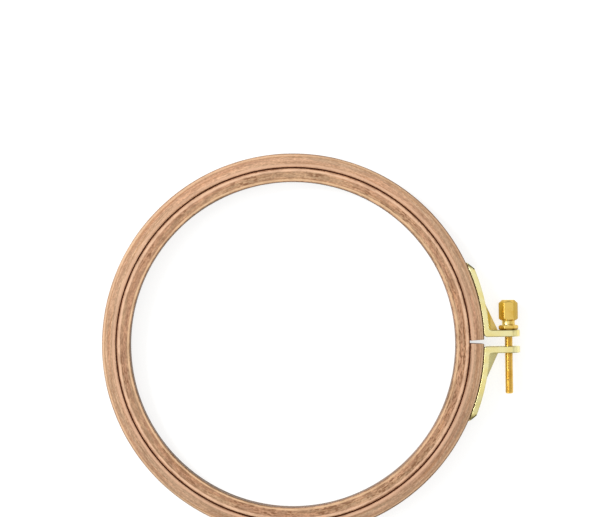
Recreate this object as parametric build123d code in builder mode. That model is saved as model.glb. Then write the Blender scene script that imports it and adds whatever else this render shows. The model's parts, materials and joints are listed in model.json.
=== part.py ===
from build123d import *
import math
import os

# A wooden embroidery hoop with a thumb screw, in millimetres.
# The hoop lies flat. The axis of both rings is Z, the origin is their centre at mid-height, and the
# outer ring's split, its brackets and the screw are on +X.
# The outer ring is one bent strip, sawn through at the screw, that flexes opposite its split. It is
# built as two rigid sides that meet at the bend, and the opening side turns about the bend's outer edge.

# Rings
hoop_size = 130.0  # across the outside of the inner ring, which is the size that a hoop is sold by
ring_height = 8.0
inner_ring_wall = 4.9
outer_ring_wall = 5.2
ring_edge_rounding = 1.1
ring_clearance = 0.3  # between the two closed rings, all round
saw_cut_inside = 1.0  # width of the saw cut at the outer ring's inner face
saw_cut_outside = 1.6  # and at its outer face
bend_gap = 0.1  # between the two sides at the bend

# Brackets
bracket_height = 7.4
arm_length = 28.4  # along the ring, from the ear's face at the gap to the arm's tip
arm_thickness = 2.0
arm_tip_thickness = 0.4
arm_tip_taper = 3.2  # length over which the arm thins down to its tip
arm_rim = 0.9
trough_depth = 0.8
ear_gap = 3.5
ear_thickness = 2.5
ear_reach = 13.4  # from the ring's outer face to the ear's end
root_rounding = 1.2  # where the arm turns into the ear, on both faces
bracket_edge_rounding = 0.35
gusset_reach = 5.2  # along the ear, from the ring's outer face
gusset_crest = 0.8  # thickness of the gusset at its free edge
gusset_root = 4.6  # and where it is thickest, as deep below that edge as it reaches

# Pins of the brackets
pin_diameter = 1.6
pin_length = 4.4
pin_point_length = 1.2
pin_head_diameter = 2.9
pin_head_height = 0.45
pin_clearance = 0.02
pin_tip_distance = 6.0  # along the ring, from the arm's tip to the nearer pin
pin_spacing = 7.2
pin_gusset_distance = 3.0  # along the ring, from the last pin to the gusset's end
pin_count = 2  # in each bracket

# Thumb screw
screw_reach = 9.2  # from the ring's outer face to the screw's axis
head_width = 7.2  # across corners
head_length = 7.5
head_top_bevel = 1.2  # along the axis and across it alike
head_bottom_bevel = 0.6
neck_diameter = 4.8
neck_length = 1.8
neck_rounding = 0.4
collar_width = 7.4  # across corners
collar_thickness = 1.7
collar_bevel = 0.4
collar_clearance = 0.05  # between the collar and the ear that it bears on
thread_diameter = 3.0
thread_depth = 0.27
thread_pitch = 0.5
thread_relief = 0.6  # plain length under the collar
end_chamfer = 0.3
shank_length = 23.6  # from the collar to the shank's end
plain_hole_clearance = 0.1
swing_clearance = 0.2  # round the thread, for the arc that the threaded ear swings on

# The threaded ear's travel along the screw when the hoop is opened all the way
opening_travel = 10.0

# One length by which every cut runs past what it cuts
overrun = 1.0

# Radii of the rings
inner_ring_outer_radius = hoop_size / 2
outer_ring_inner_radius = inner_ring_outer_radius + ring_clearance
outer_ring_outer_radius = outer_ring_inner_radius + outer_ring_wall
inner_ring_mid_radius = inner_ring_outer_radius - inner_ring_wall / 2
outer_ring_mid_radius = outer_ring_outer_radius - outer_ring_wall / 2

# Ears and screw
ear_near_y = ear_gap / 2
ear_far_y = ear_near_y + ear_thickness
ear_mid_y = (ear_near_y + ear_far_y) / 2
ear_end_x = outer_ring_outer_radius + ear_reach
ear_round_x = ear_end_x - bracket_height / 2
screw_x = outer_ring_outer_radius + screw_reach
screw_axis = Axis((screw_x, 0, 0), (0, 1, 0))

# The bend is level with the middle of the threaded ear's travel, so that the ear's arc stays on the
# screw. Angles are in degrees round the rings' axis, from +X.
bend_y = -(ear_mid_y + opening_travel / 2)
bend_angle = 180 + math.degrees(math.asin(-bend_y / outer_ring_outer_radius))
bend_gap_angle = math.degrees(bend_gap / outer_ring_outer_radius)
bend_x = outer_ring_outer_radius * math.cos(math.radians(bend_angle))
bend_to_screw = screw_x - bend_x
opening_angle = 2 * math.degrees(math.atan(opening_travel / 2 / bend_to_screw))
screw_turns = opening_travel / thread_pitch

# Half of the saw cut's outline, which widens outwards
saw_cut_points = (
    (outer_ring_inner_radius - overrun, 0),
    (outer_ring_inner_radius - overrun, saw_cut_inside / 2),
    (outer_ring_inner_radius, saw_cut_inside / 2),
    (outer_ring_outer_radius, saw_cut_outside / 2),
    (outer_ring_outer_radius + overrun, saw_cut_outside / 2),
    (outer_ring_outer_radius + overrun, 0),
)

# Places along the arm
ear_face_angle = math.degrees(math.asin(ear_near_y / outer_ring_outer_radius))
arm_end_angle = ear_face_angle + math.degrees(arm_length / outer_ring_outer_radius)
tip_angle = arm_end_angle - math.degrees(bracket_height / 2 / outer_ring_outer_radius)
taper_angle = arm_end_angle - math.degrees(arm_tip_taper / outer_ring_outer_radius)
last_pin_distance = pin_tip_distance + (pin_count - 1) * pin_spacing
gusset_length = arm_length - last_pin_distance - pin_gusset_distance
gusset_angle = ear_face_angle + math.degrees(gusset_length / outer_ring_outer_radius)
arm_outer_radius = outer_ring_outer_radius + arm_thickness
trough_floor_radius = arm_outer_radius - trough_depth
trough_end_radius = bracket_height / 2 - arm_rim
trough_end_distance = arm_tip_taper + arm_rim + trough_end_radius
trough_end_angle = arm_end_angle - math.degrees(trough_end_distance / outer_ring_outer_radius)


def polar(radius, angle):
    """Point in the XY plane at this radius and this angle in degrees."""
    return (radius * math.cos(math.radians(angle)), radius * math.sin(math.radians(angle)))


def outward_plane(radius, angle):
    """Plane that faces away from the rings' axis, with its x along the ring."""
    return Plane(
        origin=(*polar(radius, angle), 0),
        x_dir=(*polar(1, angle + 90), 0),
        z_dir=(*polar(1, angle), 0),
    )


def screw_plane(y):
    """Plane square to the screw's axis at this place along it, facing the head."""
    return Plane(origin=(screw_x, y, 0), x_dir=(1, 0, 0), z_dir=(0, 1, 0))


def pin_angle(number):
    """Angle of a bracket's pin, counted from the arm's tip."""
    distance = pin_tip_distance + number * pin_spacing
    return arm_end_angle - math.degrees(distance / outer_ring_outer_radius)


pin_angles = [pin_angle(number) for number in range(pin_count)]
pin_planes = [outward_plane(trough_floor_radius, angle) for angle in pin_angles]
opening_pin_planes = [outward_plane(trough_floor_radius, -angle) for angle in pin_angles]
pin_hole_radius = pin_diameter / 2 + pin_clearance
pin_hole_depth = pin_length + pin_clearance

# Inner ring: a closed ring with all its edges rounded
with BuildPart() as inner_ring:
    with BuildSketch(Plane.XZ):
        with Locations((inner_ring_mid_radius, 0)):
            RectangleRounded(inner_ring_wall, ring_height, ring_edge_rounding)
    revolve(axis=Axis.Z)

# The wedge that the saw cut takes out of the outer ring
with BuildPart() as saw_cut:
    with BuildSketch():
        with BuildLine():
            Polyline(*saw_cut_points, close=True)
        make_face()
        mirror(about=Plane.XZ)
    extrude(amount=ring_height, both=True)

# Outer ring, fixed side: from the saw cut through +Y to the bend
with BuildPart() as outer_ring_fixed_side:
    with BuildSketch(Plane.XZ):
        with Locations((outer_ring_mid_radius, 0)):
            RectangleRounded(outer_ring_wall, ring_height, ring_edge_rounding)
    revolve(axis=Axis.Z, revolution_arc=bend_angle - bend_gap_angle / 2)
    add(saw_cut.part, mode=Mode.SUBTRACT)
    with Locations(*pin_planes):
        Hole(pin_hole_radius, depth=pin_hole_depth)

# Outer ring, opening side: from the saw cut through -Y to the bend
with BuildPart() as outer_ring_opening_side:
    with BuildSketch(Plane.XZ):
        with Locations((outer_ring_mid_radius, 0)):
            RectangleRounded(outer_ring_wall, ring_height, ring_edge_rounding)
    revolve(axis=Axis.Z, revolution_arc=bend_angle + bend_gap_angle / 2 - 360)
    add(saw_cut.part, mode=Mode.SUBTRACT)
    with Locations(*opening_pin_planes):
        Hole(pin_hole_radius, depth=pin_hole_depth)

# The recess in an arm's outer face, which leaves a rim along both edges and ends before the tapered tip
with BuildPart() as trough:
    with BuildSketch(Plane.XZ):
        with Locations((trough_floor_radius, 0)):
            Rectangle(
                trough_depth + overrun,
                2 * trough_end_radius,
                align=(Align.MIN, Align.CENTER),
            )
    revolve(axis=Axis.Z, revolution_arc=arm_end_angle)
    with BuildSketch(outward_plane(outer_ring_outer_radius, trough_end_angle)):
        Circle(trough_end_radius)
        Rectangle(arm_length, 2 * trough_end_radius, align=(Align.MAX, Align.CENTER))
    extrude(amount=arm_length, both=True, mode=Mode.INTERSECT)
    split(bisect_by=Plane.XZ.offset(-ear_far_y - root_rounding), keep=Keep.BOTTOM)

# The gusset in the corner between arm and ear, a triangle that thickens from its free edge inwards
gusset_ear_point = Vector(outer_ring_outer_radius + gusset_reach, ear_far_y)
gusset_arm_point = Vector(*polar(arm_outer_radius, gusset_angle))
with BuildPart() as gusset:
    with BuildSketch():
        with BuildLine():
            Polyline(
                (outer_ring_outer_radius, ear_mid_y),
                (outer_ring_outer_radius + gusset_reach, ear_mid_y),
                gusset_ear_point,
                gusset_arm_point,
                polar(outer_ring_outer_radius, gusset_angle),
                close=True,
            )
        make_face()
    extrude(amount=gusset_root / 2, both=True)
    with BuildSketch(
        Plane(
            origin=gusset_ear_point,
            x_dir=(0, 0, 1),
            z_dir=gusset_arm_point - gusset_ear_point,
        )
    ):
        with BuildLine():
            Polyline(
                (gusset_crest / 2, 0),
                (gusset_root / 2, -gusset_reach),
                (-gusset_root / 2, -gusset_reach),
                (-gusset_crest / 2, 0),
                close=True,
            )
        make_face()
    extrude(amount=arm_length, both=True, mode=Mode.INTERSECT)

# Both brackets are cut from this blank: an arm bent round the ring, an ear and a gusset between them
with BuildPart() as bracket_blank:
    with BuildSketch(Plane.XZ):
        with Locations((outer_ring_outer_radius, 0)):
            Rectangle(arm_thickness, bracket_height, align=(Align.MIN, Align.CENTER))
    revolve(axis=Axis.Z, revolution_arc=arm_end_angle)
    with BuildSketch(outward_plane(outer_ring_outer_radius, tip_angle)):
        Circle(bracket_height / 2)
        Rectangle(arm_length, bracket_height, align=(Align.MAX, Align.CENTER))
    extrude(amount=arm_length, both=True, mode=Mode.INTERSECT)
    split(bisect_by=Plane.XZ.offset(-ear_near_y), keep=Keep.BOTTOM)
    with BuildSketch(Plane.XZ.offset(-ear_near_y)):
        with Locations((ear_round_x, 0)):
            Circle(bracket_height / 2)
            Rectangle(
                ear_round_x - outer_ring_mid_radius,
                bracket_height,
                align=(Align.MAX, Align.CENTER),
            )
    extrude(amount=-ear_thickness)
    Cylinder(outer_ring_outer_radius, 2 * bracket_height, mode=Mode.SUBTRACT)
    upright_edges = bracket_blank.edges().filter_by(Axis.Z)
    fillet(
        [
            upright_edges.sort_by_distance((outer_ring_outer_radius, ear_near_y, 0))[0],
            upright_edges.sort_by_distance((arm_outer_radius, ear_far_y, 0))[0],
        ],
        root_rounding,
    )
    fillet(
        bracket_blank.faces().filter_by(Axis.Z).edges(),
        bracket_edge_rounding,
    )
    add(trough.part, mode=Mode.SUBTRACT)
    with BuildSketch():
        with BuildLine():
            Polyline(
                polar(outer_ring_outer_radius + arm_tip_thickness, arm_end_angle),
                polar(arm_outer_radius, taper_angle),
                polar(arm_outer_radius + overrun, taper_angle),
                polar(arm_outer_radius + overrun, arm_end_angle + 1),
                polar(outer_ring_outer_radius + arm_tip_thickness, arm_end_angle + 1),
                close=True,
            )
        make_face()
    extrude(amount=bracket_height, both=True, mode=Mode.SUBTRACT)
    add(gusset.part)
    Cylinder(outer_ring_outer_radius, 2 * bracket_height, mode=Mode.SUBTRACT)
    with Locations(*pin_planes):
        Hole(pin_hole_radius, depth=arm_thickness)

# Plain bracket: its ear lets the screw pass
with BuildPart() as plain_bracket:
    add(bracket_blank.part)
    with Locations(screw_plane(ear_far_y)):
        Hole(thread_diameter / 2 + plain_hole_clearance, depth=ear_thickness + overrun)

# Threaded bracket: its mirror image, whose hole stands for the thread's
with BuildPart() as threaded_bracket:
    mirror(bracket_blank.part, about=Plane.XZ)
    with Locations(screw_plane(-ear_near_y)):
        Hole(thread_diameter / 2 + swing_clearance, depth=ear_thickness + overrun)

# One pin, with its head's underside on the XY plane and its point downwards
with BuildPart() as pin:
    with BuildSketch(Plane.XZ):
        with BuildLine():
            Polyline(
                (0, pin_head_height),
                (0, -pin_length),
                (pin_diameter / 2, pin_point_length - pin_length),
                (pin_diameter / 2, 0),
                (pin_head_diameter / 2, 0),
            )
            TangentArc((0, pin_head_height), (pin_head_diameter / 2, 0), tangent=(1, 0))
        make_face()
    revolve(axis=Axis.Z)

with BuildPart() as plain_bracket_pins:
    with Locations(*pin_planes):
        add(pin.part)

with BuildPart() as threaded_bracket_pins:
    with Locations(*opening_pin_planes):
        add(pin.part)

# Places along the thumb screw's axis
collar_near_y = ear_far_y + collar_clearance
collar_far_y = collar_near_y + collar_thickness
head_near_y = collar_far_y + neck_length
head_far_y = head_near_y + head_length
shank_end_y = collar_near_y - shank_length
head_radius = head_width / 2
neck_radius = neck_diameter / 2
collar_radius = collar_width / 2
thread_radius = thread_diameter / 2
thread_root_radius = thread_radius - thread_depth
thread_outline_radii = (thread_root_radius, thread_root_radius, thread_radius, thread_radius)
thread_outline_shares = (0, 1 / 4, 9 / 16, 11 / 16)  # of the pitch, along one ridge


def thread_points():
    """Half outline of the thread's ridges, from the collar to the shank's narrower end."""
    start_y = collar_near_y - thread_relief
    ridge_count = int((start_y - shank_end_y - thread_depth) / thread_pitch)
    points = []
    for ridge in range(ridge_count):
        ridge_y = start_y - ridge * thread_pitch
        for radius, pitch_share in zip(thread_outline_radii, thread_outline_shares):
            points.append((screw_x + radius, ridge_y - pitch_share * thread_pitch))
    points.append((screw_x + thread_root_radius, start_y - ridge_count * thread_pitch))
    points.append((screw_x + thread_root_radius, shank_end_y + end_chamfer))
    points.append((screw_x + thread_root_radius - end_chamfer, shank_end_y))
    return points


# Thumb screw: the hexagonal head and collar, turned at their ends, then the neck and the shank
with BuildPart() as thumb_screw:
    with BuildSketch(screw_plane(collar_near_y)):
        RegularPolygon(collar_radius, 6)
    extrude(amount=collar_thickness)
    with BuildSketch(screw_plane(head_near_y)):
        RegularPolygon(head_radius, 6)
    extrude(amount=head_length)
    with BuildSketch():
        with BuildLine():
            Polyline(
                (screw_x, collar_near_y),
                (screw_x + collar_radius - collar_bevel, collar_near_y),
                (screw_x + collar_radius, collar_near_y + collar_bevel),
                (screw_x + collar_radius, collar_far_y - collar_bevel),
                (screw_x + collar_radius - collar_bevel, collar_far_y),
                (screw_x + head_radius - head_bottom_bevel, head_near_y),
                (screw_x + head_radius, head_near_y + head_bottom_bevel),
                (screw_x + head_radius, head_far_y - head_top_bevel),
                (screw_x + head_radius - head_top_bevel, head_far_y),
                (screw_x, head_far_y),
                close=True,
            )
        make_face()
    revolve(axis=screw_axis, mode=Mode.INTERSECT)
    with BuildSketch(screw_plane(collar_far_y)):
        Circle(neck_radius)
    extrude(amount=neck_length)
    fillet(
        thumb_screw.edges()
        .filter_by(GeomType.CIRCLE)
        .filter_by(lambda edge: math.isclose(edge.radius, neck_radius)),
        neck_rounding,
    )
    with BuildSketch():
        with BuildLine():
            Polyline(
                (screw_x, collar_near_y),
                (screw_x + thread_root_radius, collar_near_y),
                *thread_points(),
                (screw_x, shank_end_y),
                close=True,
            )
        make_face()
    revolve(axis=screw_axis)

pieces = {
    "inner_ring": inner_ring,
    "outer_ring_fixed_side": outer_ring_fixed_side,
    "outer_ring_opening_side": outer_ring_opening_side,
    "plain_bracket": plain_bracket,
    "threaded_bracket": threaded_bracket,
    "plain_bracket_pins": plain_bracket_pins,
    "threaded_bracket_pins": threaded_bracket_pins,
    "thumb_screw": thumb_screw,
}
os.makedirs("parts", exist_ok=True)
for name, piece in pieces.items():
    piece.part.label = name
    export_step(piece.part, f"parts/{name}.step")

print(f"bend at x {bend_x:.3f}, y {bend_y:.3f}, screw axis at x {screw_x:.3f}")
print(f"opening {opening_angle:.4f} degrees in {screw_turns:.1f} turns of the screw")
print(f"turns of the screw per turn of the bend {screw_turns * 360 / opening_angle:.2f}")
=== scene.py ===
"""Looks of a round beech embroidery hoop with a brass thumb screw, in metres."""
import json
import logging
import math
from contextlib import contextmanager
from dataclasses import dataclass
from enum import Enum
from functools import reduce
from typing import Callable, Iterator, Union

import bmesh
import bpy
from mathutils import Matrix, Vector


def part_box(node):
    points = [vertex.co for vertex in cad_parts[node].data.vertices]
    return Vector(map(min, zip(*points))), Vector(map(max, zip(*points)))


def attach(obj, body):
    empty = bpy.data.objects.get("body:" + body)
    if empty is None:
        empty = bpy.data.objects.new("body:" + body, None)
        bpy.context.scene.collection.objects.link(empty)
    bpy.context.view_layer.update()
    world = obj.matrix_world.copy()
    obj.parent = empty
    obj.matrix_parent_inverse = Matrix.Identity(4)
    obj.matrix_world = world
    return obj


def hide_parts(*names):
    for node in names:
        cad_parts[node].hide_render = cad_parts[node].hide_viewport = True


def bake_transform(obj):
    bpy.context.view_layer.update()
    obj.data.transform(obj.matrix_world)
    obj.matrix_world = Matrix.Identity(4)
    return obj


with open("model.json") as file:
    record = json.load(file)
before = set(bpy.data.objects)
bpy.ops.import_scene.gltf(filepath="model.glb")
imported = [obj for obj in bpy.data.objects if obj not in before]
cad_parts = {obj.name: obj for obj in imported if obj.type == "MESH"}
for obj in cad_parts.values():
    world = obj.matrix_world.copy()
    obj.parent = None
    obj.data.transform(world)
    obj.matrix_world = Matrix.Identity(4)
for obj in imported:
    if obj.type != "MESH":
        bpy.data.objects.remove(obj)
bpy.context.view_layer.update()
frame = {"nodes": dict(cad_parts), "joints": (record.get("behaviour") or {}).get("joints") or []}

log = logging.getLogger("embroidery_hoop")

MM = 0.001
FULL_TURN = 2 * math.pi
UP = Vector((0, 0, 1))
CENTRE = Vector((0, 0, 0))
PLACE_AT_REST = "place_at_rest"
SAME_POINT = 0.001 * MM
SAME_POINT_AFTER_SHAPING = 0.002 * MM
ON_THE_CUT = 0.001 * MM
STRAIGHT_ALONG = 0.999
BEYOND_THE_HOOP = 1.0
SMOOTH_BELOW = 35

Place = tuple[float, float, float]
Colour = tuple[float, float, float]
Levels = tuple[float, float]
Socket = bpy.types.NodeSocket
Signal = Union[Socket, float, Colour]


class Element(Enum):
    """What a selection on the bench picks."""

    POINT = "VERT"
    EDGE = "EDGE"
    FACE = "FACE"


class Workpiece:
    """A mesh on the bench, shaped with Blender's own operators."""

    def __init__(self, name: str) -> None:
        """Takes the object that was just added and names it.

        Args:
            name: Name of the finished piece.
        """
        self.object = bpy.context.object
        self.object.name = name
        self.object.data.name = name

    @staticmethod
    def clear_bench() -> None:
        """Deselects everything, so that an operator acts on the new piece alone."""
        bpy.ops.object.select_all(action="DESELECT")

    @classmethod
    def traced(cls, name: str, points: list[Vector]) -> "Workpiece":
        """Draws an open line by extruding one corner from point to point.

        Args:
            name: Name of the piece.
            points: The line's corners in order.

        Returns:
            The line as a workpiece of points and edges.
        """
        cls.clear_bench()
        bpy.ops.mesh.primitive_plane_add(size=MM, location=points[0])
        piece = cls(name)
        piece.settle()
        with piece.editing(Element.POINT):
            bpy.ops.mesh.select_all(action="SELECT")
            bpy.ops.mesh.merge(type="CENTER")
            for here, there in zip(points, points[1:]):
                step = {"value": there - here}
                bpy.ops.mesh.extrude_region_move(TRANSFORM_OT_translate=step)
        return piece

    @classmethod
    def copy_of_node(cls, name: str, node: str) -> "Workpiece":
        """Copies a CAD node's mesh and joins its loose triangles.

        Args:
            name: Name of the new piece.
            node: Name of the CAD node.

        Returns:
            The copy, at the origin.
        """
        cls.clear_bench()
        mesh = frame["nodes"][node].data.copy()
        mesh.materials.clear()
        copy = bpy.data.objects.new(name, mesh)
        bpy.context.scene.collection.objects.link(copy)
        bpy.context.view_layer.objects.active = copy
        piece = cls(name)
        with piece.editing(Element.POINT):
            bpy.ops.mesh.select_all(action="SELECT")
            bpy.ops.mesh.remove_doubles(threshold=SAME_POINT)
        return piece

    def hold(self) -> None:
        """Selects this piece alone."""
        self.clear_bench()
        self.object.select_set(True)
        bpy.context.view_layer.objects.active = self.object

    @contextmanager
    def editing(self, element: Element) -> Iterator[None]:
        """Holds the piece alone in edit mode.

        Args:
            element: The kind of element that is picked there.

        Yields:
            Nothing, while the piece is in edit mode.
        """
        self.hold()
        bpy.ops.object.mode_set(mode="EDIT")
        bpy.ops.mesh.select_mode(type=element.value)
        yield
        bpy.ops.object.mode_set(mode="OBJECT")

    def pick(self, element: Element, test: Callable[[Vector, Vector], bool]) -> None:
        """Selects what a test on place and normal picks, in edit mode.

        Args:
            element: Points, edges or faces.
            test: Takes an element's middle and its normal, and says whether it is picked. An edge
                hands in its direction instead of a normal.
        """
        bpy.ops.mesh.select_mode(type=element.value)
        bpy.ops.mesh.select_all(action="DESELECT")
        bench = bmesh.from_edit_mesh(self.object.data)
        if element is Element.POINT:
            for point in bench.verts:
                point.select_set(test(point.co, point.normal))
        elif element is Element.EDGE:
            for edge in bench.edges:
                first, last = (point.co for point in edge.verts)
                edge.select_set(test((first + last) / 2, (last - first).normalized()))
        else:
            for face in bench.faces:
                face.select_set(test(face.calc_center_median(), face.normal))
        bmesh.update_edit_mesh(self.object.data)

    def spin(self, steps: int, angle: float) -> None:
        """Spins the piece's outline round Z and closes the skin that it sweeps.

        Args:
            steps: Number of steps.
            angle: How far it turns, in radians.
        """
        with self.editing(Element.POINT):
            bpy.ops.mesh.select_all(action="SELECT")
            bpy.ops.mesh.spin(steps=steps, angle=angle, center=CENTRE, axis=UP)
        self.close()

    def modify(self, kind: str, **settings: object) -> None:
        """Adds a modifier and applies it.

        Args:
            kind: Blender's name for the modifier's type.
            settings: Values of the modifier's properties.
        """
        self.hold()
        modifier = self.object.modifiers.new(kind.title(), kind)
        for key, value in settings.items():
            setattr(modifier, key, value)
        bpy.ops.object.modifier_apply(modifier=modifier.name)

    def round_edges(self, width: float, degrees: float) -> None:
        """Rounds every edge that is sharper than an angle, to a width."""
        limit = math.radians(degrees)
        self.modify("BEVEL", width=width, segments=3, limit_method="ANGLE", angle_limit=limit)

    def combine(self, other: "Workpiece", operation: str) -> None:
        """Joins this piece with another one or cuts it by it, and clears the other away."""
        self.modify("BOOLEAN", object=other.object, operation=operation, solver="EXACT")
        bpy.data.objects.remove(other.object)

    def close(self) -> None:
        """Merges doubles and turns every face outwards."""
        with self.editing(Element.POINT):
            bpy.ops.mesh.select_all(action="SELECT")
            bpy.ops.mesh.remove_doubles(threshold=SAME_POINT_AFTER_SHAPING)
            bpy.ops.mesh.normals_make_consistent(inside=False)

    def settle(self) -> None:
        """Puts the piece's place, turn and scale into its mesh."""
        self.hold()
        bpy.ops.object.transform_apply(location=True, rotation=True, scale=True)

    def smooth(self, degrees: float) -> None:
        """Shades the piece smooth except at edges sharper than an angle."""
        self.hold()
        bpy.ops.object.shade_smooth_by_angle(angle=math.radians(degrees))

    def remember_place(self) -> None:
        """Stores where each point is at rest, so that the grain follows the wood when it bends."""
        mesh = self.object.data
        places = mesh.attributes.new(PLACE_AT_REST, "FLOAT_VECTOR", "POINT")
        flat = [value for point in mesh.vertices for value in point.co]
        places.data.foreach_set("vector", flat)

    def dress(self, material: bpy.types.Material, slot: str) -> None:
        """Gives the piece its finish.

        Args:
            material: The finish.
            slot: The record's name for it. Not used.
        """
        self.object.data.materials.clear()
        self.object.data.materials.append(material)


class Shade:
    """A material being made, with the nodes that the finishes share."""

    def __init__(self, name: str) -> None:
        """Starts a material.

        Args:
            name: Its name.
        """
        self.material = bpy.data.materials.new(name)
        self.material.use_nodes = True
        self.tree = self.material.node_tree
        self.surface = self.tree.nodes["Principled BSDF"]

    def node(self, kind: str, **settings: object) -> bpy.types.Node:
        """Adds a node.

        Args:
            kind: The end of Blender's name for its type.
            settings: Values of the node's properties.

        Returns:
            The node.
        """
        made = self.tree.nodes.new(f"ShaderNode{kind}")
        for key, value in settings.items():
            setattr(made, key, value)
        return made

    def feed(self, socket: Socket, value: Signal) -> None:
        """Links a socket to another one, or sets it to a number or colour.

        Args:
            socket: The socket that is fed.
            value: What feeds it.
        """
        if isinstance(value, Socket):
            self.tree.links.new(value, socket)
        elif isinstance(value, tuple) and socket.type == "RGBA":
            socket.default_value = (*value, 1.0)
        else:
            socket.default_value = value

    def math(self, operation: str, first: Signal, second: Signal = 0.0) -> Socket:
        """Works out one number from two.

        Args:
            operation: Blender's name for the sum.
            first: The first number.
            second: The second number.

        Returns:
            The result.
        """
        made = self.node("Math", operation=operation)
        self.feed(made.inputs[0], first)
        self.feed(made.inputs[1], second)
        return made.outputs[0]

    def product(self, *numbers: Signal) -> Signal:
        """Multiplies numbers, in order."""
        return reduce(lambda first, second: self.math("MULTIPLY", first, second), numbers)

    def vector(self, operation: str, first: Signal, second: Signal = (0, 0, 0)) -> bpy.types.Node:
        """Works on two vectors.

        Args:
            operation: Blender's name for the sum.
            first: The first vector.
            second: The second vector.

        Returns:
            The node, which has a vector and a number as its outputs.
        """
        made = self.node("VectorMath", operation=operation)
        self.feed(made.inputs[0], first)
        self.feed(made.inputs[1], second)
        return made

    def apart(self, vector: Socket) -> bpy.types.NodeOutputs:
        """Splits a vector.

        Args:
            vector: The vector.

        Returns:
            Its X, Y and Z.
        """
        made = self.node("SeparateXYZ")
        self.feed(made.inputs[0], vector)
        return made.outputs

    def between(self, value: Signal, low: float, high: float) -> Socket:
        """Rises smoothly from 0 to 1 between two levels.

        Args:
            value: The value that is compared.
            low: The level where the result is 0.
            high: The level where it is 1. It may be the smaller of the two.

        Returns:
            A number from 0 to 1.
        """
        made = self.node("MapRange", interpolation_type="SMOOTHSTEP")
        self.feed(made.inputs["Value"], value)
        made.inputs["From Min"].default_value = low
        made.inputs["From Max"].default_value = high
        return made.outputs["Result"]

    def spread(self, value: Signal, low: float, high: float) -> Socket:
        """Turns 0 to 1 into the range between two numbers.

        Args:
            value: A number from 0 to 1.
            low: What 0 becomes.
            high: What 1 becomes.

        Returns:
            A number in that range.
        """
        made = self.node("MapRange")
        self.feed(made.inputs["Value"], value)
        made.inputs["To Min"].default_value = low
        made.inputs["To Max"].default_value = high
        return made.outputs["Result"]

    def mix(self, share: Signal, first: Signal, second: Signal, way: str = "MIX") -> Socket:
        """Mixes two colours.

        Args:
            share: How much of the second one there is, from 0 to 1.
            first: The first colour.
            second: The second colour.
            way: Blender's name for the way of mixing.

        Returns:
            The mixed colour.
        """
        made = self.node("Mix", data_type="RGBA", blend_type=way)
        self.feed(made.inputs[0], share)
        self.feed(made.inputs[6], first)
        self.feed(made.inputs[7], second)
        return made.outputs[2]

    def bump(self, height: Signal, distance: float) -> None:
        """Gives the surface its fine relief.

        Args:
            height: Height of the relief, from 0 to 1.
            distance: How high 1 stands.
        """
        made = self.node("Bump")
        made.inputs["Distance"].default_value = distance
        self.feed(made.inputs["Height"], height)
        self.feed(self.surface.inputs["Normal"], made.outputs["Normal"])


@dataclass(frozen=True)
class Figure:
    """One pattern in the wood, as noise, and the two levels between which it comes to show."""

    length: float
    width: float
    detail: float
    offset: float
    low: float
    high: float


class BeechShade(Shade):
    """Beech being made, with every pattern laid round the ring.

    The noise has four dimensions: the direction from the ring's centre, the height and the
    radius, so it has no seam and each streak follows the ring.
    """

    def __init__(self, name: str, grain_radius: float, seed: float) -> None:
        """Starts a material and reads the place on the ring.

        Args:
            name: The material's name.
            grain_radius: Radius at which the patterns have their length.
            seed: Sets one ring's patterns apart from another's.
        """
        super().__init__(name)
        self.grain_radius = grain_radius
        self.seed = seed
        place = self.node("Attribute", attribute_name=PLACE_AT_REST)
        self.toward_screw, sideways, self.height = self.apart(place.outputs["Vector"])
        level = self.node("CombineXYZ")
        self.feed(level.inputs["X"], self.toward_screw)
        self.feed(level.inputs["Y"], sideways)
        self.radius = self.vector("LENGTH", level.outputs[0]).outputs["Value"]
        self.heading = self.vector("NORMALIZE", level.outputs[0]).outputs["Vector"]

    def noise(self, figure: Figure) -> Socket:
        """Makes a pattern's noise, drawn out along the grain.

        Args:
            figure: The pattern.

        Returns:
            The noise, from 0 to 1.
        """
        along = self.vector("SCALE", self.heading)
        along.inputs["Scale"].default_value = self.grain_radius / figure.length
        upwards = self.node("CombineXYZ")
        self.feed(upwards.inputs["Z"], self.math("DIVIDE", self.height, figure.width))
        place = self.vector("ADD", along.outputs[0], upwards.outputs[0])
        outwards = self.math("DIVIDE", self.radius, figure.width)
        made = self.node("TexNoise", noise_dimensions="4D")
        self.feed(made.inputs["Vector"], place.outputs[0])
        self.feed(made.inputs["W"], self.math("ADD", outwards, self.seed + figure.offset))
        made.inputs["Scale"].default_value = 1.0
        made.inputs["Detail"].default_value = figure.detail
        return made.outputs["Fac"]

    def shown(self, figure: Figure, noise: Signal) -> Socket:
        """Says how far a pattern shows, from 0 to 1."""
        return self.between(noise, figure.low, figure.high)

    def apart_from(self, radius: Signal, line: float) -> Socket:
        """Gives the distance between a radius and a line that runs round the ring."""
        return self.math("ABSOLUTE", self.math("SUBTRACT", radius, line))


@dataclass(frozen=True)
class Band:
    """A line of another tone that runs round a ring: a painted highlight or a painted shade line
    along a rounded edge.
    """

    radius: float
    width: float
    colour: Colour
    strength: float


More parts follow.
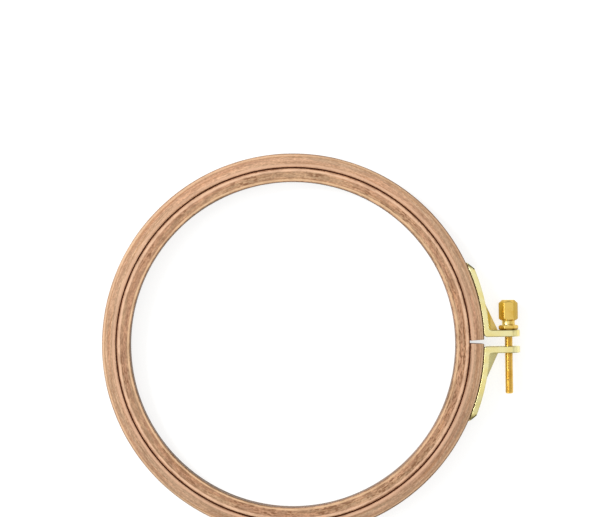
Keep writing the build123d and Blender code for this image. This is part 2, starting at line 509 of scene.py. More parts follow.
@dataclass(frozen=True)
class BeechFinish:
    """Beech whose grain runs round a ring, with painted highlights and shade lines on its edges and
    painted shadow in the seam.
    """

    name: str
    grain_radius: float
    seam_radius: float
    half_height: float
    tan: Colour
    pink: Colour
    # Direction of the painted light: each ring is painted lighter towards this side.
    painted_light_side: Vector
    # Painted highlights and painted shade lines along the rounded edges.
    bands: tuple[Band, ...]
    fleck_strength: float
    seed: float
    tones: Figure = Figure(34 * MM, 1.5 * MM, 2.0, 0.0, 0.38, 0.62)
    streaks: Figure = Figure(24 * MM, 0.42 * MM, 2.0, 11.0, 0.5, 0.66)
    fibres: Figure = Figure(7 * MM, 0.22 * MM, 2.0, 23.0, 0.3, 0.7)
    flecks: Figure = Figure(1.7 * MM, 0.42 * MM, 1.5, 37.0, 0.48, 0.6)
    patches: Figure = Figure(4.5 * MM, 1.8 * MM, 2.0, 53.0, 0.34, 0.66)
    clusters: Figure = Figure(11 * MM, 2.6 * MM, 1.0, 71.0, 0.4, 0.6)
    pores: Figure = Figure(0.9 * MM, 0.36 * MM, 1.0, 91.0, 0.32, 0.68)
    fibre_lightness: Levels = (0.88, 1.14)
    patch_lightness: Levels = (0.86, 1.14)
    pore_lightness: Levels = (0.84, 1.15)
    streak: Colour = (0.42, 0.205, 0.095)
    streak_strength: float = 0.62
    fleck: Colour = (0.26, 0.118, 0.055)
    fleck_clustering: Levels = (0.4, 1.0)
    fleck_pit: float = 0.7
    band_wobble: float = 1.0 * MM
    # Levels and range of the patches where the painted lines fade.
    band_fade_levels: Levels = (0.35, 0.6)
    band_fade_range: Levels = (0.65, 1.0)
    # Painted shadow in the crevice of the seam between the rings.
    seam_shadow_tone: Colour = (0.125, 0.02, 0.002)
    seam_start: Levels = (0.1 * MM, 0.3 * MM)
    seam_end: Levels = (1.8 * MM, 0.9 * MM)
    seam_reach: Levels = (0.9 * MM, 0.75 * MM)
    seam_strength: Levels = (0.12, 0.95)
    # Painted shade in the groove between the outer ring and the brackets' arms.
    arm_shadow_tone: Colour = (0.085, 0.03, 0.012)
    arm_shadow_strength: float = 0.9
    arm_shadow_radius: float = BEYOND_THE_HOOP
    arm_shadow_radius_soft: float = 0.2 * MM
    arm_shadow_from: float = 64.4 * MM
    arm_shadow_from_soft: float = 0.8 * MM
    roughness: Levels = (0.42, 0.62)
    gloss: float = 0.22
    relief: float = 0.05 * MM

    def lightness(self, shade: BeechShade, fibres: Signal, patches: Signal) -> Signal:
        """Works out how much lighter or darker the wood is in each place, with one side of the ring
        painted lighter as if lit from there.

        Args:
            shade: The beech being made.
            fibres: Noise of the fibres.
            patches: Noise of the patches.

        Returns:
            The factor on the colour.
        """
        # Painted light: one side of the ring lighter and the other darker, by the direction from
        # its centre.
        painted_side_light = shade.vector("DOT_PRODUCT", shade.heading, tuple(self.painted_light_side))
        pores = shade.noise(self.pores)
        return shade.product(
            shade.spread(shade.shown(self.fibres, fibres), *self.fibre_lightness),
            shade.math("ADD", 1.0, painted_side_light.outputs["Value"]),
            shade.spread(shade.shown(self.patches, patches), *self.patch_lightness),
            shade.spread(shade.shown(self.pores, pores), *self.pore_lightness),
        )

    def banded(self, shade: BeechShade, colour: Signal, tones: Signal, patches: Signal) -> Signal:
        """Draws the painted highlights and painted shade lines that run round the ring, a little
        wavy and fading in patches.

        Args:
            shade: The beech being made.
            colour: Colour of the wood.
            tones: Noise of the tones.
            patches: Noise of the patches.

        Returns:
            The colour with its lines.
        """
        wobble = shade.product(shade.math("SUBTRACT", tones, 0.5), self.band_wobble)
        wavy_radius = shade.math("ADD", shade.radius, wobble)
        # The painted highlights and shade lines fade in patches along the ring.
        patchy_fade = shade.spread(shade.between(patches, *self.band_fade_levels), *self.band_fade_range)
        for band in self.bands:
            away = shade.apart_from(wavy_radius, band.radius)
            near = shade.between(away, band.width / 2, band.width / 8)
            colour = shade.mix(shade.product(near, band.strength, patchy_fade), colour, band.colour)
        return colour

    def seam_shadow_share(self, shade: BeechShade) -> Signal:
        """Finds the faces that meet at the seam, near the rings' upper and lower edges, where
        shadow is painted into the crevice.

        Args:
            shade: The beech being made.

        Returns:
            The share of the painted shadow.
        """
        level = shade.math("ABSOLUTE", shade.height)
        depth = shade.math("SUBTRACT", self.half_height, level)
        away = shade.apart_from(shade.radius, self.seam_radius)
        return shade.product(
            shade.between(depth, *self.seam_start),
            shade.between(away, *self.seam_reach),
            shade.spread(shade.between(depth, *self.seam_end), *self.seam_strength),
        )

    def arm_shadow_share(self, shade: BeechShade) -> Signal:
        """Finds the outside of the ring under the brackets' arms, where shade is painted into the
        groove.

        Args:
            shade: The beech being made.

        Returns:
            The share of the painted shade there.
        """
        outside = self.arm_shadow_radius
        start = self.arm_shadow_from
        return shade.product(
            shade.between(shade.radius, outside, outside + self.arm_shadow_radius_soft),
            shade.between(shade.toward_screw, start, start + self.arm_shadow_from_soft),
            self.arm_shadow_strength,
        )

    def material(self) -> bpy.types.Material:
        """Makes the material.

        Returns:
            The finished beech.
        """
        shade = BeechShade(self.name, self.grain_radius, self.seed)
        tones = shade.noise(self.tones)
        fibres = shade.noise(self.fibres)
        patches = shade.noise(self.patches)

        colour = shade.mix(shade.shown(self.tones, tones), self.tan, self.pink)
        streaks = shade.shown(self.streaks, shade.noise(self.streaks))
        colour = shade.mix(shade.product(streaks, self.streak_strength), colour, self.streak)

        lightness = self.lightness(shade, fibres, patches)
        grey = shade.node("CombineColor")
        for channel in range(3):
            shade.feed(grey.inputs[channel], lightness)
        colour = shade.mix(1.0, colour, grey.outputs[0], "MULTIPLY")

        clusters = shade.shown(self.clusters, shade.noise(self.clusters))
        flecks = shade.product(
            shade.shown(self.flecks, shade.noise(self.flecks)),
            self.fleck_strength,
            shade.spread(clusters, *self.fleck_clustering),
        )
        colour = shade.mix(flecks, colour, self.fleck)
        colour = self.banded(shade, colour, tones, patches)
        # Painted shadow in the seam.
        colour = shade.mix(self.seam_shadow_share(shade), colour, self.seam_shadow_tone)
        # Painted shade under the brackets' arms.
        colour = shade.mix(self.arm_shadow_share(shade), colour, self.arm_shadow_tone)

        shade.feed(shade.surface.inputs["Base Color"], colour)
        shade.feed(shade.surface.inputs["Roughness"], shade.spread(fibres, *self.roughness))
        shade.surface.inputs["Specular IOR Level"].default_value = self.gloss
        pits = shade.product(flecks, self.fleck_pit)
        shade.bump(shade.math("SUBTRACT", fibres, pits), self.relief)
        return shade.material


@dataclass(frozen=True)
class TonePatch:
    """Another tone and roughness on the metal, in a box with soft sides, used mostly for painted
    shade, painted highlights and a painted reflection.

    The box's corners and its softness are in millimetres, counted from a start in metres.
    """

    low: Place
    high: Place
    soft: float
    colour: Colour
    strength: float
    roughness: float = 0.3
    start: Vector = CENTRE

    def share(self, shade: Shade, place: bpy.types.NodeOutputs) -> Signal:
        """Works out how much of the patch a place has.

        Args:
            shade: The metal being made.
            place: The place's X, Y and Z.

        Returns:
            The share, from 0 to the patch's strength.
        """
        share = self.strength
        soft = self.soft * MM
        lows = self.start + Vector(self.low) * MM
        highs = self.start + Vector(self.high) * MM
        for side, low, high in zip(place, lows, highs):
            above = shade.between(side, low - soft, low)
            below = shade.between(side, high + soft, high)
            share = shade.product(share, above, below)
        return share


@dataclass(frozen=True)
class MetalFinish:
    """Bright metal, tumbled or turned, with a cloudy tone and fine marks."""

    name: str
    plain: Colour
    deep: Colour
    cloud_size: float
    mark_size: Vector
    relief: float
    patches: tuple[TonePatch, ...]
    cloud_detail: float = 3.0
    cloud_levels: Levels = (0.4, 0.7)
    mark_detail: float = 2.0
    roughness: Levels = (0.2, 0.32)

    def material(self) -> bpy.types.Material:
        """Makes the material.

        Returns:
            The finished metal.
        """
        shade = Shade(self.name)
        place = shade.node("TexCoord").outputs["Object"]
        clouds = shade.node("TexNoise")
        shade.feed(clouds.inputs["Vector"], place)
        clouds.inputs["Scale"].default_value = 1 / self.cloud_size
        clouds.inputs["Detail"].default_value = self.cloud_detail
        stretch = shade.node("Mapping")
        shade.feed(stretch.inputs["Vector"], place)
        stretch.inputs["Scale"].default_value = [1 / size for size in self.mark_size]
        marks = shade.node("TexNoise")
        shade.feed(marks.inputs["Vector"], stretch.outputs[0])
        marks.inputs["Scale"].default_value = 1.0
        marks.inputs["Detail"].default_value = self.mark_detail

        cloudy = shade.between(clouds.outputs["Fac"], *self.cloud_levels)
        colour = shade.mix(cloudy, self.plain, self.deep)
        roughness = shade.spread(marks.outputs["Fac"], *self.roughness)
        sides = shade.apart(place)
        for patch in self.patches:
            share = patch.share(shade, sides)
            colour = shade.mix(share, colour, patch.colour)
            change = shade.math("SUBTRACT", patch.roughness, roughness)
            roughness = shade.math("ADD", roughness, shade.product(share, change))
        shade.feed(shade.surface.inputs["Base Color"], colour)
        shade.surface.inputs["Metallic"].default_value = 1.0
        shade.feed(shade.surface.inputs["Roughness"], roughness)
        shade.bump(marks.outputs["Fac"], self.relief)
        return shade.material


@dataclass
class WoodRing:
    """A bent beech ring, or one side of a split one."""

    name: str
    inner_radius: float
    outer_radius: float
    height: float
    inner_rounding: float
    outer_rounding: float
    turn: float = 360.0
    degrees_a_step: float = 1.25
    corner_segments: int = 5
    cuts_between_corners: int = 4
    waviness: float = 0.05 * MM
    waviness_size: float = 7 * MM

    def section(self) -> Workpiece:
        """Draws the ring's cross-section at angle zero: a rectangle with rounded corners.

        Returns:
            The section's outline.
        """
        Workpiece.clear_bench()
        middle = (self.inner_radius + self.outer_radius) / 2
        wall = self.outer_radius - self.inner_radius
        bpy.ops.mesh.primitive_plane_add(
            size=1, location=(middle, 0, 0), rotation=(math.pi / 2, 0, 0)
        )
        piece = Workpiece(self.name)
        piece.object.scale = (wall, self.height, 1)
        piece.settle()
        with piece.editing(Element.POINT):
            for way, rounding in ((-1, self.inner_rounding), (1, self.outer_rounding)):
                piece.pick(Element.POINT, lambda co, _: (co.x - middle) * way > 0)
                bpy.ops.mesh.bevel(
                    offset=rounding, segments=self.corner_segments, affect="VERTICES"
                )
            bpy.ops.mesh.select_all(action="SELECT")
            bpy.ops.mesh.delete(type="ONLY_FACE")
            piece.pick(
                Element.EDGE, lambda _, along: max(abs(along.x), abs(along.z)) > STRAIGHT_ALONG
            )
            bpy.ops.mesh.subdivide(number_cuts=self.cuts_between_corners)
        return piece

    def bend(self) -> Workpiece:
        """Spins the section round the ring's axis and gives the wood its slight waviness.

        Returns:
            The ring, with open ends where it isn't a whole turn.
        """
        piece = self.section()
        steps = round(abs(self.turn) / self.degrees_a_step)
        piece.spin(steps, -math.radians(self.turn))
        texture = bpy.data.textures.new(f"{self.name}_waviness", "CLOUDS")
        texture.noise_scale = self.waviness_size
        piece.modify(
            "DISPLACE", texture=texture, texture_coords="LOCAL",
            strength=self.waviness, mid_level=0.5,
        )
        return piece


@dataclass
class InnerRing:
    """The closed ring that the cloth is laid over."""

    outer_radius: float
    wall: float
    height: float
    finish: BeechFinish
    bore_rounding: float = 0.4 * MM
    seam_rounding: float = 0.7 * MM

    def build(self) -> bpy.types.Object:
        """Makes the ring and sets it on its body.

        Returns:
            The ring.
        """
        ring = WoodRing(
            "beech_inner_ring", self.outer_radius - self.wall, self.outer_radius, self.height,
            inner_rounding=self.bore_rounding, outer_rounding=self.seam_rounding,
        )
        piece = ring.bend()
        piece.smooth(SMOOTH_BELOW)
        piece.remember_place()
        piece.dress(self.finish.material(), "beech_inner")
        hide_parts("inner_ring")
        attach(piece.object, "inner_ring")
        return piece.object


@dataclass
class OuterRing:
    """The split ring, whose two sides meet without a seam opposite the saw cut."""

    inner_radius: float
    wall: float
    height: float
    bend: Vector
    finish: BeechFinish
    seam_rounding: float = 0.7 * MM
    outer_rounding: float = 1.1 * MM
    cut_inside: float = 1.0 * MM
    cut_outside: float = 1.6 * MM
    cut_rounding: float = 0.15 * MM
    flex_length: float = 22 * MM
    flex_slant: float = 0.35

    def side(self, name: str, turn: float) -> Workpiece:
        """Bends one side from the saw cut to the place opposite it.

        Args:
            name: The piece's name.
            turn: How far it goes round, in degrees, negative for clockwise.

        Returns:
            The side, closed at both ends.
        """
        outer = self.inner_radius + self.wall
        ring = WoodRing(
            name, self.inner_radius, outer, self.height,
            inner_rounding=self.seam_rounding, outer_rounding=self.outer_rounding, turn=turn,
        )
        piece = ring.bend()
        way = math.copysign(1, turn)
        near_end = Vector((self.inner_radius, way * self.cut_inside / 2, 0))
        far_end = Vector((outer, way * self.cut_outside / 2, 0))
        square = (far_end - near_end).cross(UP) * -way
        with piece.editing(Element.EDGE):
            piece.pick(Element.FACE, lambda co, _: co.x > 0)
            bpy.ops.mesh.bisect(
                plane_co=near_end, plane_no=square, use_fill=True, clear_inner=True,
                threshold=ON_THE_CUT,
            )
            bpy.ops.mesh.bevel(offset=self.cut_rounding, segments=2, affect="EDGES")
            bpy.ops.mesh.select_mode(type=Element.EDGE.value)
            bpy.ops.mesh.select_all(action="DESELECT")
            bpy.ops.mesh.select_non_manifold(extend=False)
            bpy.ops.mesh.edge_face_add()
        piece.close()
        piece.smooth(SMOOTH_BELOW)
        piece.remember_place()
        return piece

    def build(self) -> list[bpy.types.Object]:
        """Makes both sides and sets the fixed side on its body.

        Returns:
            The fixed side and the opening side.
        """
        material = self.finish.material()
        bend_angle = math.degrees(math.atan2(self.bend.y, self.bend.x)) % 360
        fixed = self.side("beech_outer_ring_fixed_side", bend_angle)
        fixed.dress(material, "beech_outer")
        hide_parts("outer_ring_fixed_side")
        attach(fixed.object, "fixed_side")
        opening = self.side("beech_outer_ring_opening_side", bend_angle - 360)
        opening.dress(material, "beech_outer")
        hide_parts("outer_ring_opening_side")
        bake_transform(opening.object)
        return [fixed.object, opening.object]


@dataclass
class Bracket:
    """A plated bracket, whose edges are rounded by tumbling."""

    node: str
    body: str
    material: bpy.types.Material
    edge_rounding: float = 0.12 * MM
    round_above: float = 28

    def build(self) -> bpy.types.Object:
        """Makes the bracket and sets it on its body.

        Returns:
            The bracket.
        """
        piece = Workpiece.copy_of_node(f"plated_{self.node}", self.node)
        piece.round_edges(self.edge_rounding, self.round_above)
        piece.smooth(SMOOTH_BELOW)
        piece.dress(self.material, "plated_bracket")
        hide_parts(self.node)
        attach(piece.object, self.body)
        return piece.object


@dataclass
class ThumbScrew:
    """The brass screw: a hexagonal head and collar, a round neck and a threaded shank."""

    axis: Vector
    collar_place: float
    finish: MetalFinish
    head_width: float = 7.2 * MM
    head_length: float = 7.5 * MM
    head_top_bevel: float = 1.2 * MM
    head_bottom_bevel: float = 0.6 * MM
    neck_diameter: float = 4.8 * MM
    neck_length: float = 1.8 * MM
    neck_rounding: float = 0.4 * MM
    neck_segments: int = 3
    collar_width: float = 7.4 * MM
    collar_thickness: float = 1.7 * MM
    collar_bevel: float = 0.4 * MM
    thread_diameter: float = 3.0 * MM
    thread_depth: float = 0.16 * MM
    thread_pitch: float = 0.5 * MM
    shank_length: float = 23.6 * MM
    end_chamfer: float = 0.3 * MM
    shank_in_collar: float = 0.4 * MM
    envelope_clearance: float = 0.1 * MM
    spare_turns: int = 4
    corner_wear: float = 0.06 * MM
    edge_rounding: float = 0.13 * MM
    round_above: float = 25
    smooth_below: float = 30
    lathe_steps: int = 96
    thread_steps: int = 28
    envelope_steps: int = 48

    def lathe_outline(self) -> list[Vector]:
        """Half outline of what the lathe leaves of the bar, with the axis on Z and the collar's
        underside at zero.

        Returns:
            Its corners, from the collar to the head's end.
        """
        collar = self.collar_width / 2 - self.corner_wear
        head = self.head_width / 2 - self.corner_wear
        neck = self.neck_diameter / 2
        rounding = self.neck_rounding
        top = self.collar_thickness
        under = top + self.neck_length
        end = under + self.head_length
        turns = [math.pi / 2 * step / self.neck_segments for step in range(self.neck_segments + 1)]
        fillet = [
            (neck + rounding * (1 - math.cos(turn)), rounding * (1 - math.sin(turn)))
            for turn in turns
        ]
        corners = [
            (0, 0), (collar - self.collar_bevel, 0), (collar, self.collar_bevel),
            (collar, top - self.collar_bevel), (collar - self.collar_bevel, top),
        ]
        corners += [(x, top + height) for x, height in reversed(fillet)]
        corners += [(x, under - height) for x, height in fillet]
        corners += [
            (head - self.head_bottom_bevel, under), (head, under + self.head_bottom_bevel),
            (head, end - self.head_top_bevel), (head - self.head_top_bevel, end), (0, end),
        ]
        return [Vector((x, 0, z)) for x, z in corners]

    def turned_bar(self) -> Workpiece:
        """Makes the head, neck and collar: a hexagonal bar cut back to the lathe's outline.

        Returns:
            The bar, with its axis on Z and the collar's underside at zero.
        """
        turned = Workpiece.traced("lathe_outline", self.lathe_outline())
        turned.spin(self.lathe_steps, FULL_TURN)
        step = self.collar_thickness + self.neck_length / 2
        low, high = -MM, step + self.neck_length + self.head_length
        Workpiece.clear_bench()
        bpy.ops.mesh.primitive_cylinder_add(
            vertices=6, radius=self.collar_width / 2, depth=step - low,
            location=(0, 0, (step + low) / 2), rotation=(0, 0, math.pi / 6),
        )
        bar = Workpiece("brass_thumb_screw")
        bar.settle()
        inset = (self.collar_width - self.head_width) / 2 * math.cos(math.pi / 6)
        with bar.editing(Element.FACE):
            bar.pick(Element.FACE, lambda _, normal: normal.z > STRAIGHT_ALONG)
            bpy.ops.mesh.inset(thickness=inset)
            lift = {"value": (0, 0, high - step)}
            bpy.ops.mesh.extrude_region_move(TRANSFORM_OT_translate=lift)
        bar.combine(turned, "INTERSECT")
        bar.round_edges(self.edge_rounding, self.round_above)
        return bar

    def thread(self) -> Workpiece:
        """Winds one ridge round the shank and cuts it square at both ends.

        Returns:
            The thread, from the shank's end into the collar.
        """
        crest = self.thread_diameter / 2
        root = crest - self.thread_depth
        flank = (root + crest) / 2
        pitch = self.thread_pitch
        end = -self.shank_length
        start = end - self.spare_turns / 2 * pitch
        ridge = (
            (root, 0), (root, 0.14), (flank, 0.28), (crest, 0.44),
            (crest, 0.7), (flank, 0.86), (root, 1),
        )
        outline = [Vector((x, 0, start + share * pitch)) for x, share in ridge]
        piece = Workpiece.traced("shank", outline)
        piece.modify(
            "SCREW", axis="Z", screw_offset=pitch, angle=FULL_TURN,
            steps=self.thread_steps, render_steps=self.thread_steps,
            iterations=math.ceil(self.shank_length / pitch) + self.spare_turns,
            use_merge_vertices=True, merge_threshold=SAME_POINT_AFTER_SHAPING,
        )
        with piece.editing(Element.EDGE):
            for cut, facing in ((end, UP), (self.shank_in_collar, -UP)):
                bpy.ops.mesh.select_all(action="SELECT")
                bpy.ops.mesh.bisect(
                    plane_co=(0, 0, cut), plane_no=facing, use_fill=True, clear_inner=True,
                    threshold=ON_THE_CUT,
                )
        piece.close()
        return piece

    def shank(self) -> Workpiece:
        """Makes the threaded shank below the collar, with its chamfered end.

        Returns:
            The shank, with its axis on Z.
        """
        clearance = self.envelope_clearance
        outside = self.thread_diameter / 2 + clearance
        root = self.thread_diameter / 2 - self.thread_depth
        end = -self.shank_length
        envelope = Workpiece.traced("shank_envelope", [
            Vector((0, 0, end)),
            Vector((root - self.end_chamfer, 0, end)),
            Vector((outside, 0, end + self.end_chamfer + self.thread_depth + clearance)),
            Vector((outside, 0, MM)),
            Vector((0, 0, MM)),
        ])
        envelope.spin(self.envelope_steps, FULL_TURN)
        piece = self.thread()
        piece.combine(envelope, "INTERSECT")
        return piece

    def build(self) -> bpy.types.Object:
        """Makes the screw, turns it to lie along Y and sets it on its body.

        Returns:
            The screw.
        """
        piece = self.turned_bar()
        piece.combine(self.shank(), "UNION")
        piece.object.rotation_euler = (-math.pi / 2, 0, 0)
        piece.object.location = self.axis + Vector((0, self.collar_place, 0))
        piece.settle()
        piece.close()
        piece.smooth(self.smooth_below)
        piece.dress(self.finish.material(), "screw_brass")
        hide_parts("thumb_screw")
        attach(piece.object, "thumb_screw")
        return piece.object


@dataclass(frozen=True)
class Lamp:
    """A soft round lamp that points at the hoop, with its power in watts."""

    name: str
    place: Vector
    size: float
    power: float

    def hang(self) -> None:
        """Hangs the lamp in its place."""
        light = bpy.data.lights.new(self.name, "AREA")
        light.shape = "DISK"
        light.size = self.size
        light.energy = self.power
        holder = bpy.data.objects.new(self.name, light)
        holder.location = self.place
        holder.rotation_euler = (-self.place).to_track_quat("-Z", "Y").to_euler()
        bpy.context.scene.collection.objects.link(holder)


@dataclass
class Studio:
    """The plain floor, the soft light and the camera straight above the hoop."""

    floor_level: float
    top_level: float
    camera_place: tuple[float, float] = (3.01 * MM, 31.72 * MM)
    camera_distance: float = 1.0
    camera_turn: float = -0.85
    lens: float = 162.9
    sensor_width: float = 36.0
    nearest: float = 0.01
    farthest: float = 100.0
    floor_size: float = 60.0
    floor_tone: Colour = (0.4, 0.4, 0.4)
    floor_glow: float = 0.76
    sky_tint: Colour = (1.0, 0.995, 0.97)
    sky_levels: tuple[Levels, ...] = ((0.0, 0.4), (0.3, 0.3), (0.6, 0.4), (0.85, 0.75), (0.94, 1.0))

    def camera(self) -> None:
        """Hangs the camera above the hoop, looking straight down."""
        camera = bpy.data.cameras.new("overhead_camera")
        camera.lens = self.lens
        camera.sensor_width = self.sensor_width
        camera.clip_start, camera.clip_end = self.nearest, self.farthest
        holder = bpy.data.objects.new("overhead_camera", camera)
        holder.location = (*self.camera_place, self.top_level + self.camera_distance)
        holder.rotation_euler = (0, 0, math.radians(self.camera_turn))
        bpy.context.scene.collection.objects.link(holder)
        bpy.context.scene.camera = holder

    def floor(self) -> None:
        """Lays the pale floor, which shows white and keeps the hoop's shadow."""
        Workpiece.clear_bench()
        bpy.ops.mesh.primitive_plane_add(size=self.floor_size, location=(0, 0, self.floor_level))
        piece = Workpiece("pale_floor")
        shade = Shade("pale_floor")
        tree = shade.tree
        tree.nodes.remove(shade.surface)
        ray = shade.node("LightPath")
        seen = shade.math("ADD", ray.outputs["Is Camera Ray"], ray.outputs["Is Glossy Ray"])
        seen = shade.math("ADD", seen, ray.outputs["Is Transmission Ray"])
        plain = shade.node("BsdfDiffuse")
        shade.feed(plain.inputs["Color"], self.floor_tone)
        glow = shade.node("Emission")
        shade.feed(glow.inputs["Strength"], shade.product(seen, self.floor_glow))
        both = shade.node("AddShader")
        shade.feed(both.inputs[0], plain.outputs[0])
        shade.feed(both.inputs[1], glow.outputs[0])
        shade.feed(tree.nodes["Material Output"].inputs["Surface"], both.outputs[0])
        piece.object.data.materials.append(shade.material)

    def sky(self) -> None:
        """Lights the hoop softly from all round, brightest overhead."""
        world = bpy.data.worlds.new("studio")
        bpy.context.scene.world = world
        world.use_nodes = True
        tree = world.node_tree
        heading = tree.nodes.new("ShaderNodeTexCoord")
        apart = tree.nodes.new("ShaderNodeSeparateXYZ")
        ramp = tree.nodes.new("ShaderNodeValToRGB")
        tree.links.new(heading.outputs["Generated"], apart.inputs[0])
        tree.links.new(apart.outputs["Z"], ramp.inputs["Fac"])
        tree.links.new(ramp.outputs["Color"], tree.nodes["Background"].inputs["Color"])
        stops = ramp.color_ramp.elements
        while len(stops) < len(self.sky_levels):
            stops.new(0.5)
        for stop, (place, level) in zip(stops, self.sky_levels):
            stop.position = place
            stop.color = (*(level * tint for tint in self.sky_tint), 1)

    def build(self) -> None:
        """Sets up the whole studio."""
        bpy.context.scene.view_settings.view_transform = "Standard"
        self.camera()
        self.floor()
        self.sky()
        Lamp("key_lamp", Vector((-0.86, 0.5, 0.84)), 0.45, 9.0).hang()
        Lamp("left_panel", Vector((-0.75, -0.02, 0.75)), 0.36, 1.4).hang()
        Lamp("side_panel", Vector((1.0, -0.05, 0.36)), 0.9, 1.2).hang()


class EmbroideryHoop:
    """The whole hoop, with its places read from the CAD frame."""

    inner_wall = 4.9 * MM
    ring_clearance = 0.3 * MM
    snug = 0.18 * MM  # narrows the gap between the rings, where the floor would shine through
    ear_thickness = 2.5 * MM
    collar_clearance = 0.05 * MM
    floor_gap = 0.05 * MM  # keeps the wavy wood off the floor

    def __init__(self) -> None:
        """Reads the rings' sizes, the bend and the screw's axis."""
        joints = {joint["name"]: joint for joint in frame["joints"]}
        self.low, self.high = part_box("inner_ring")
        self.radius = self.high.x
        self.height = self.high.z - self.low.z
        self.outer_inside = self.radius + self.ring_clearance
        self.outer_outside = -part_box("outer_ring_fixed_side")[0].x
        self.bend = Vector(joints["ring_opening"]["pos_m"])
        self.screw_axis = Vector(joints["screw_turn"]["pos_m"])
        self.ear_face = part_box("plain_bracket")[0].y + self.ear_thickness
        self.collar_place = self.ear_face + self.collar_clearance
        self.seam_radius = (self.radius + self.outer_inside) / 2

    def inner_beech(self) -> BeechFinish:
        """Chooses the inner ring's wood, with many flecks, a painted highlight along both edges and
        a painted shade line at the bore.

        Returns:
            The finish.
        """
        bore = self.radius - self.inner_wall
        return BeechFinish(
            "beech_inner", self.radius, self.seam_radius, self.high.z,
            tan=(0.515, 0.32, 0.19), pink=(0.525, 0.283, 0.168), painted_light_side=Vector((0.1, 0.03, 0)),
            # Painted highlights on both rounded edges, and a painted shade line on the bore's wall.
            bands=(
                Band(bore + 0.7 * MM, 1.0 * MM, (0.86, 0.57, 0.34), 0.85),
                Band(bore - 0.05 * MM, 0.4 * MM, (0.2, 0.12, 0.07), 0.9),
                Band(self.radius - 0.75 * MM, 1.3 * MM, (0.9, 0.58, 0.39), 0.85),
            ),
            fleck_strength=0.95, seed=3.0,
        )

    def outer_beech(self) -> BeechFinish:
        """Chooses the outer ring's wood, with long streaks, few flecks, painted highlights and
        shade lines on its edges, and painted shade under the brackets' arms.

        Returns:
            The finish.
        """
        outside = self.outer_outside
        return BeechFinish(
            "beech_outer", self.radius, self.seam_radius, self.high.z,
            tan=(0.565, 0.36, 0.226), pink=(0.58, 0.325, 0.2), painted_light_side=Vector((-0.08, 0.13, 0)),
            # Painted highlights on both rounded edges, a painted shade line just inside the outer
            # highlight and another at the outermost edge.
            bands=(
                Band(self.outer_inside + 0.95 * MM, 1.3 * MM, (0.76, 0.47, 0.31), 0.85),
                Band(outside - 1.2 * MM, 0.55 * MM, (0.44, 0.22, 0.1), 0.6),
                Band(outside - 0.6 * MM, 0.9 * MM, (0.78, 0.52, 0.32), 0.8),
                Band(outside - 0.05 * MM, 0.4 * MM, (0.24, 0.14, 0.08), 0.75),
            ),
            fleck_strength=0.38, seed=71.0,
            patches=Figure(16 * MM, 0.9 * MM, 2.0, 53.0, 0.34, 0.66),
            # Where the painted shade under the arms begins, just inside the ring's outer edge.
            arm_shadow_radius=outside - 0.4 * MM,
        )

    def bracket_plating(self) -> MetalFinish:
        """Chooses the brackets' plating: rough gussets, the upper one with a painted reflection,
        and painted shade on the arms' tips and the ears' edges.

        Returns:
            The finish.
        """
        # Painted shade: a thin dark line along each ear's edge at the face where the collar sits.
        ear_edge_shade = [
            TonePatch(
                (73.5, -0.16, -3.8), (83, 0.16, 3.8), 0.06, (0.36, 0.31, 0.07), 0.75,
                start=Vector((0, side * self.ear_face, 0)),
            )
            for side in (1, -1)
        ]
        rough_gussets_painted_light_and_tip = [
            # Painted reflection: the upper gusset painted brighter, and rougher as cast.
            TonePatch((72.2, 4.4, -3.1), (80, 18, 3.1), 0.2, (1.0, 0.84, 0.38), 0.95, 0.75),
            # Painted shade at the upper gusset's root by the arm.
            TonePatch((72.2, 4.4, -3.1), (72.8, 14, 3.1), 0.4, (0.85, 0.64, 0.1), 0.9, 0.6),
            # The lower gusset, rougher as cast.
            TonePatch((72.2, -18, -3.1), (80, -4.4, 3.1), 0.2, (0.86, 0.8, 0.42), 0.9, 0.55),
            # Darker towards the lower arm's tip.
            TonePatch((60, -34, -5), (75, -23, 5), 8, (0.4, 0.35, 0.13), 0.35),
        ]
        # Painted shade: a near-black line across each arm's slanted tip.
        slanted_tip_shade = [
            TonePatch(
                (-0.25, -0.25, -4), (0.25, 0.25, 4), 0.2, (0.06, 0.05, 0.004), 0.85, 0.5,
                start=Vector((x, side * y, 0)) * MM,
            )
            for side in (1, -1)
            for x, y in ((65.3, 28.6), (65.9, 28.1), (66.5, 27.6), (67.0, 27.1))
        ]
        return MetalFinish(
            "pale_brass_plating", plain=(0.86, 0.79, 0.42), deep=(0.84, 0.72, 0.3),
            cloud_size=4 * MM, mark_size=Vector((0.5, 0.5, 0.5)) * MM, relief=0.01 * MM,
            patches=(*ear_edge_shade, *rough_gussets_painted_light_and_tip, *slanted_tip_shade),
        )

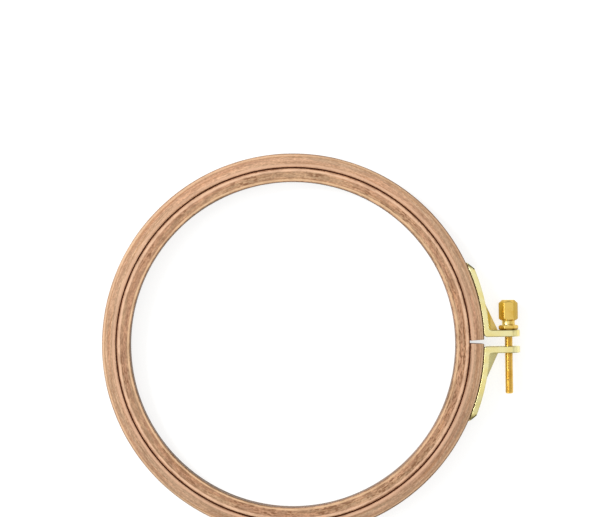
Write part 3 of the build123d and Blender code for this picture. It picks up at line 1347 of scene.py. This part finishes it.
    def screw_brass(self) -> MetalFinish:
        """Chooses the screw's brass, with a painted shadow under the collar, a painted highlight on
        the neck's left side and painted shade on the head's side facets.

        Returns:
            The finish.
        """
        start = self.screw_axis + Vector((0, self.collar_place, 0))
        places = (
            # Painted shadow on the collar's underside, where it meets the ear.
            ((-5, -0.1, -5), (5, 0.5, 5), 0.1, (0.28, 0.15, 0.015), 0.85),
            # Painted highlight on the neck's left side.
            ((-5, 1.6, -5), (-0.2, 3.4, 5), 0.5, (0.88, 0.76, 0.33), 0.8),
            # Painted shade on the head's right and left facets.
            ((1.9, 3.4, -5), (5, 11.2, 5), 0.25, (0.48, 0.3, 0.02), 0.9),
            ((-5, 3.4, -5), (-1.9, 11.2, 5), 0.25, (0.68, 0.43, 0.06), 0.9),
        )
        return MetalFinish(
            "turned_brass", plain=(0.78, 0.54, 0.14), deep=(0.72, 0.46, 0.09),
            cloud_size=3 * MM, mark_size=Vector((0.6, 0.06, 0.6)) * MM, relief=0.012 * MM,
            patches=tuple(TonePatch(*place, start=start) for place in places),
        )

    def build(self) -> list[bpy.types.Object]:
        """Makes every piece in order, with the studio first.

        Returns:
            The pieces.
        """
        Studio(floor_level=self.low.z - self.floor_gap, top_level=self.high.z).build()
        inner = InnerRing(
            self.radius + self.snug, self.inner_wall + self.snug, self.height, self.inner_beech()
        )
        outer = OuterRing(
            self.outer_inside, self.outer_outside - self.outer_inside, self.height, self.bend,
            self.outer_beech(),
        )
        pieces = [inner.build(), *outer.build()]
        plated = self.bracket_plating().material()
        pieces.append(Bracket("plain_bracket", "fixed_side", plated).build())
        pieces.append(Bracket("threaded_bracket", "opening_side", plated).build())
        for node in ("plain_bracket_pins", "threaded_bracket_pins"):
            pins = frame["nodes"][node]
            for slot in pins.material_slots:
                slot.material = plated
            pieces.append(pins)
        screw = ThumbScrew(self.screw_axis, self.collar_place, self.screw_brass())
        pieces.append(screw.build())
        return pieces


def main() -> None:
    """Builds the hoop's pieces in order and reports each one."""
    logging.basicConfig(level=logging.INFO, format="%(name)s: %(message)s")
    for piece in EmbroideryHoop().build():
        log.info("%s: %d faces", piece.name, len(piece.data.polygons))


if __name__ == "__main__":
    main()
